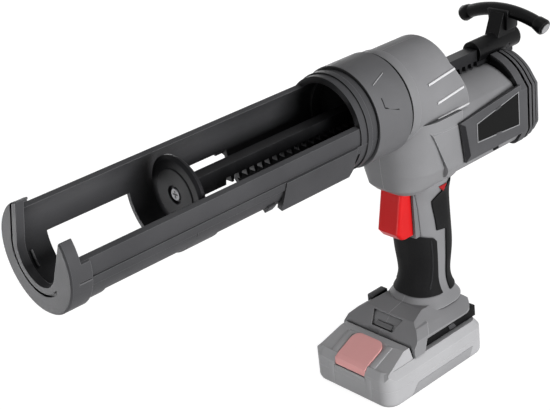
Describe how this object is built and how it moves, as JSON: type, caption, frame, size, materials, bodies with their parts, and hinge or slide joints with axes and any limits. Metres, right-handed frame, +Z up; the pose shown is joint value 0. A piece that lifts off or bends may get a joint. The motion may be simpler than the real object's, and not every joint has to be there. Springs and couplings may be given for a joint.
{
  "type": "cordless caulking tool",
  "caption": "Pistol-shaped battery tool with an open half-tube cradle, a toothed push rod with a disc and a pull handle, a trigger and a slide-on battery pack.",
  "frame": {"origin": "middle of the battery pack's base face, on which the tool stands", "axes": "+X forward along the cradle to the nozzle end, +Y to the tool's left, +Z up"},
  "size_m": [0.4163, 0.0782, 0.242],
  "materials": {
    "housing_plastic": "fine matt grain",
    "cover_plastic": "fine matt grain",
    "badge_plastic": "smooth",
    "soft_grip": "soft matt",
    "red_plastic": "satin",
    "dark_plastic": "satin",
    "dark_steel": "black oxide",
    "steel": "machined",
    "inner_plastic": "moulded",
    "board": "coated board",
    "contact_brass": "stamped",
    "pack_plastic": "fine matt grain",
    "button_plastic": "satin",
    "cell_steel": "sleeved",
    "lamp_plastic": "clear lens"
  },
  "bodies": {
    "frame": {"left_housing": "housing_plastic", "right_housing": "housing_plastic", "rear_cover": "cover_plastic", "left_badge": "badge_plastic", "right_badge": "badge_plastic", "front_grip": "soft_grip", "rear_grip": "soft_grip", "nose_spigot": "dark_plastic", "trigger_bezel": "dark_plastic", "trigger_switch": "inner_plastic", "rack_guide": "dark_plastic", "housing_screws": "steel", "pinion_bearings": "steel", "layshaft_bearings": "steel", "gearbox_cover": "inner_plastic", "ring_gear": "steel", "motor_can": "steel", "battery_shoe": "dark_plastic", "terminal_block": "inner_plastic", "terminal_blades": "contact_brass", "control_board": "board", "lamp_lens": "lamp_plastic"},
    "push_rod": {"rack": "dark_steel", "pusher_plate": "dark_plastic", "pusher_hub": "dark_steel", "pusher_screw": "steel", "pull_handle": "dark_plastic", "handle_pin": "steel"},
    "pinion": {"rack_pinion": "steel", "pinion_shaft": "steel", "spur_wheel": "steel"},
    "lay": {"layshaft": "steel", "lay_pinion": "steel", "crown_gear": "steel"},
    "clutch": {"clutch_pinion": "steel"},
    "rotor": {"motor_armature": "steel", "motor_pinion": "steel", "motor_fan": "inner_plastic"},
    "carrier": {"planet_carrier": "steel"},
    "planet_one": {"planet_gear_1": "steel"},
    "planet_two": {"planet_gear_2": "steel"},
    "planet_three": {"planet_gear_3": "steel"},
    "ring_nut": {"collar": "dark_plastic"},
    "holder": {"cradle": "dark_plastic", "front_cap": "dark_plastic"},
    "trigger": {"trigger": "red_plastic"},
    "lock": {"lock_button": "red_plastic"},
    "pack": {"battery_lower_case": "pack_plastic", "battery_upper_case": "pack_plastic", "battery_cells": "cell_steel", "cell_board": "board", "battery_spring": "steel"},
    "pack_button": {"battery_button": "button_plastic"}
  },
  "joints": [
    {"name": "rack_slide", "type": "slide", "parent": "frame", "child": "push_rod", "axis": [1, 0, 0], "range_m": [-0.128, 0.043]},
    {"name": "pinion_spin", "type": "hinge", "parent": "frame", "child": "pinion", "pos_m": [-0.018, 0, 0.1908], "axis": [0, 1, 0], "range_deg": [-613, 207]},
    {"name": "layshaft_spin", "type": "hinge", "parent": "frame", "child": "lay", "pos_m": [-0.018, 0, 0.1668], "axis": [0, 1, 0], "range_deg": [-617, 1835]},
    {"name": "clutch_spin", "type": "hinge", "parent": "frame", "child": "clutch", "pos_m": [-0.031, 0, 0.1668], "axis": [1, 0, 0], "range_deg": [-5960, 2003]},
    {"name": "motor_spin", "type": "hinge", "parent": "frame", "child": "rotor", "pos_m": [-0.09, 0, 0.1668], "axis": [1, 0, 0], "continuous": true},
    {"name": "carrier_spin", "type": "hinge", "parent": "frame", "child": "carrier", "pos_m": [-0.047, 0, 0.1668], "axis": [1, 0, 0], "continuous": true},
    {"name": "planet_one_spin", "type": "hinge", "parent": "carrier", "child": "planet_one", "pos_m": [-0.052, 0, 0.1764], "axis": [1, 0, 0], "continuous": true},
    {"name": "planet_two_spin", "type": "hinge", "parent": "carrier", "child": "planet_two", "pos_m": [-0.052, -0.00831, 0.162], "axis": [1, 0, 0], "continuous": true},
    {"name": "planet_three_spin", "type": "hinge", "parent": "carrier", "child": "planet_three", "pos_m": [-0.052, 0.00831, 0.162], "axis": [1, 0, 0], "continuous": true},
    {"name": "collar_turn", "type": "hinge", "parent": "frame", "child": "ring_nut", "pos_m": [0.02, 0, 0.207], "axis": [1, 0, 0], "range_deg": [0, 60]},
    {"name": "cradle_turn", "type": "hinge", "parent": "frame", "child": "holder", "pos_m": [0.03, 0, 0.207], "axis": [1, 0, 0], "continuous": true},
    {"name": "trigger_pull", "type": "slide", "parent": "frame", "child": "trigger", "axis": [-1, 0, 0], "range_m": [0, 0.006], "stiffness_N_per_m": 900, "springref_m": -0.003},
    {"name": "lock_push", "type": "slide", "parent": "frame", "child": "lock", "axis": [0, -1, 0], "range_m": [0, 0.003]},
    {"name": "pack_slide", "type": "slide", "parent": "frame", "child": "pack", "axis": [1, 0, 0], "range_m": [0, 0.07]},
    {"name": "button_press", "type": "slide", "parent": "pack", "child": "pack_button", "axis": [0, 0, -1], "range_m": [0, 0.003], "stiffness_N_per_m": 800, "springref_m": -0.002, "deforming": ["battery_spring"]}
  ],
  "couplings": [
    {"joint": "pinion_spin", "follows": "rack_slide", "rad_per_m": 83.333},
    {"joint": "layshaft_spin", "follows": "rack_slide", "rad_per_m": -250},
    {"joint": "clutch_spin", "follows": "rack_slide", "rad_per_m": 812.5},
    {"joint": "carrier_spin", "follows": "motor_spin", "ratio": 0.25},
    {"joint": "planet_one_spin", "follows": "motor_spin", "ratio": -0.75},
    {"joint": "planet_two_spin", "follows": "motor_spin", "ratio": -0.75},
    {"joint": "planet_three_spin", "follows": "motor_spin", "ratio": -0.75}
  ]
}
